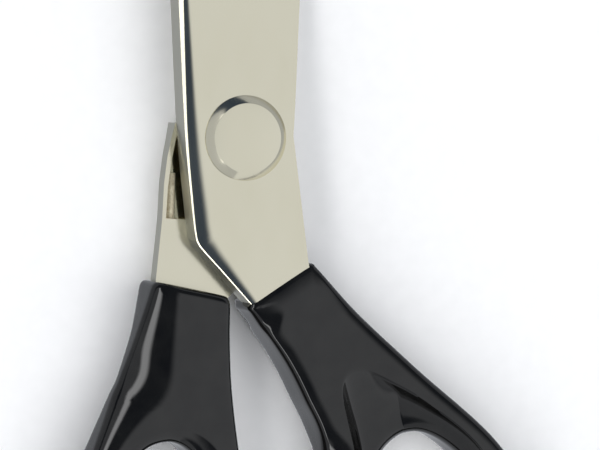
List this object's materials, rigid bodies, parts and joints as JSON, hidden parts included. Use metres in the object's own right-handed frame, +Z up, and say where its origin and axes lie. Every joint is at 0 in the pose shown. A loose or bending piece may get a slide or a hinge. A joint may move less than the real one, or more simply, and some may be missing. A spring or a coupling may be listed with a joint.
{
  "type": "pinking shears",
  "caption": "Bent-handle pinking shears with zigzag-toothed steel blades, a ball-bearing pivot under a flat round head, and glossy moulded finger bows.",
  "frame": {"origin": "pivot axis, on the plane that the shears lie on (the end face of the pivot stud, flush with its nut)", "axes": "+Y along the blades towards the tips, +X towards the larger finger bow, +Z up from the surface towards the pivot head"},
  "size_m": [0.1042, 0.2122, 0.0144],
  "materials": {
    "blade_steel": "satin nickel-plated",
    "handle_plastic": "gloss",
    "pivot_steel": "satin nickel-plated",
    "spring_steel": "oiled",
    "washer_bronze": "turned",
    "bearing_steel": "polished"
  },
  "bodies": {
    "rear_half": {"rear_blade": "blade_steel", "rear_handle": "handle_plastic", "pivot_stud": "pivot_steel", "pivot_nut": "pivot_steel", "spring_washer": "spring_steel", "thrust_washer": "washer_bronze"},
    "front_half": {"front_blade": "blade_steel", "front_handle": "handle_plastic", "bearing_race": "bearing_steel"},
    "ball_ring": {"bearing_ball_1": "bearing_steel", "bearing_ball_2": "bearing_steel", "bearing_ball_3": "bearing_steel", "bearing_ball_4": "bearing_steel", "bearing_ball_5": "bearing_steel", "bearing_ball_6": "bearing_steel", "bearing_ball_7": "bearing_steel", "bearing_ball_8": "bearing_steel", "bearing_ball_9": "bearing_steel", "bearing_ball_10": "bearing_steel", "bearing_ball_11": "bearing_steel", "bearing_ball_12": "bearing_steel", "bearing_ball_13": "bearing_steel", "bearing_ball_14": "bearing_steel", "bearing_ball_15": "bearing_steel", "bearing_ball_16": "bearing_steel"}
  },
  "joints": [
    {"name": "blade_pivot", "type": "hinge", "parent": "rear_half", "child": "front_half", "pos_m": [0, 0, 0.0089], "axis": [0, 0, 1], "range_deg": [-6, 40]},
    {"name": "ball_ring_turn", "type": "hinge", "parent": "rear_half", "child": "ball_ring", "pos_m": [0, 0, 0.0104], "axis": [0, 0, 1], "range_deg": [-4, 21]}
  ],
  "couplings": [
    {"joint": "ball_ring_turn", "follows": "blade_pivot", "ratio": 0.5}
  ]
}
